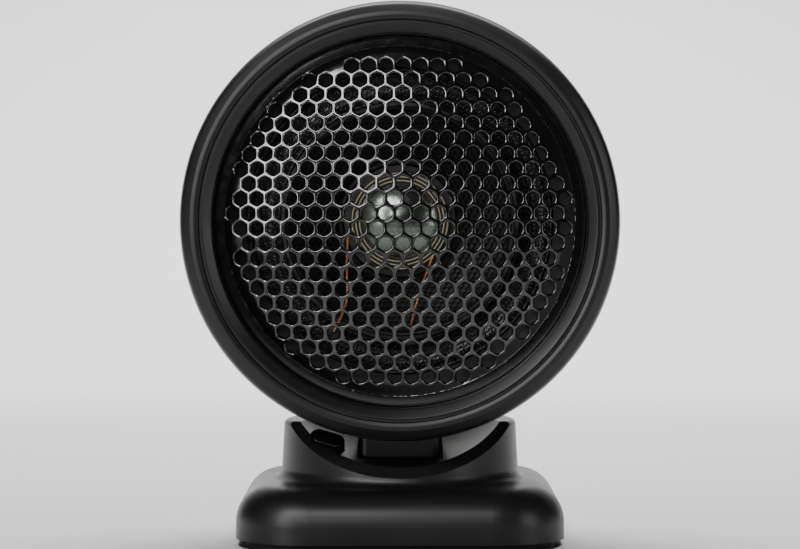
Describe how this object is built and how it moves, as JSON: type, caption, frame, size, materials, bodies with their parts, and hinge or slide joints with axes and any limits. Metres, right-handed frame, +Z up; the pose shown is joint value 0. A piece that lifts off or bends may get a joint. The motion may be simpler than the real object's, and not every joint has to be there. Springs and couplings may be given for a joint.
{
  "type": "ceramic space heater",
  "caption": "Small ceramic space heater: round tilting head with a domed hole grille, ringed bezel and ventilated rear shell, on a square base with a scooped turret.",
  "frame": {"origin": "on the table, under the middle of the base", "axes": "+Z up, the front faces -Y, +X to the right seen from the front"},
  "size_m": [0.154, 0.116, 0.1912],
  "materials": {
    "casing": "fine satin texture, near-black",
    "grille_steel": "semi-gloss black",
    "pad_rubber": "matt",
    "steel": "zinc plated",
    "dark_steel": "black oxide",
    "button_plastic": "satin gloss",
    "switch_plastic": "moulded",
    "board": "solder mask",
    "inner_plastic": "heat-proof, matt",
    "heater_ceramic": "dark sintered honeycomb",
    "cream_ceramic": "cream, fine ridges",
    "polished": "mirror polished",
    "aluminium": "satin",
    "glass_fibre": "woven, dark",
    "copper": "bare copper braid",
    "bronze": "sintered bronze",
    "fan_plastic": "moulded"
  },
  "bodies": {
    "base": {"base_shell": "casing", "base_plate": "inner_plastic", "foot_pad": "pad_rubber", "ballast_plate": "dark_steel", "base_screws": "steel", "cord_gland": "pad_rubber", "terminal_block": "switch_plastic", "control_board": "board", "board_screws": "steel", "board_relay": "switch_plastic", "board_capacitor": "aluminium", "pivot_bracket": "steel", "bracket_screws": "steel", "pivot_bolt": "steel", "pivot_nut": "steel", "spring_washer": "dark_steel", "friction_washers": "switch_plastic", "switch_bezel": "button_plastic", "button_switch": "switch_plastic", "tip_switch": "switch_plastic", "plunger_spring": "steel"},
    "head": {"neck": "casing", "neck_screws": "steel", "rear_shell": "casing", "front_bezel": "casing", "bezel_screws": "dark_steel", "grille": "grille_steel", "grille_ring": "inner_plastic", "air_duct": "inner_plastic", "gasket_ring": "glass_fibre", "ceramic_element": "heater_ceramic", "outer_electrode": "dark_steel", "inner_electrode": "dark_steel", "ceramic_former": "cream_ceramic", "nose_dome": "polished", "centre_stud": "steel", "stud_nut": "steel", "element_spider": "steel", "spider_screws": "steel", "lead_left": "copper", "lead_right": "copper", "lead_terminals": "dark_steel", "thermal_cutout": "aluminium", "thermal_fuse": "cream_ceramic", "motor_mount": "inner_plastic", "mount_screws": "steel", "motor_body": "steel", "motor_bushes": "bronze"},
    "fan": {"motor_shaft": "steel", "hub_clip": "dark_steel", "fan_impeller": "fan_plastic"},
    "button": {"power_button": "button_plastic"},
    "plunger": {"tip_plunger": "switch_plastic"}
  },
  "joints": [
    {"name": "head_tilt", "type": "hinge", "parent": "base", "child": "head", "pos_m": [0, -0.012, 0.0213], "axis": [-1, 0, 0], "range_deg": [-8, 15]},
    {"name": "fan_spin", "type": "hinge", "parent": "head", "child": "fan", "pos_m": [0, 0, 0.1142], "axis": [0, 1, 0], "continuous": true},
    {"name": "button_press", "type": "slide", "parent": "base", "child": "button", "axis": [0, 0.766, -0.6428], "range_m": [0, 0.0012], "stiffness_N_per_m": 800, "springref_m": -0.0008},
    {"name": "plunger_slide", "type": "slide", "parent": "base", "child": "plunger", "axis": [0, 0, 1], "range_m": [-0.003, 0], "stiffness_N_per_m": 80, "springref_m": -0.0035, "deforming": ["plunger_spring"]}
  ]
}
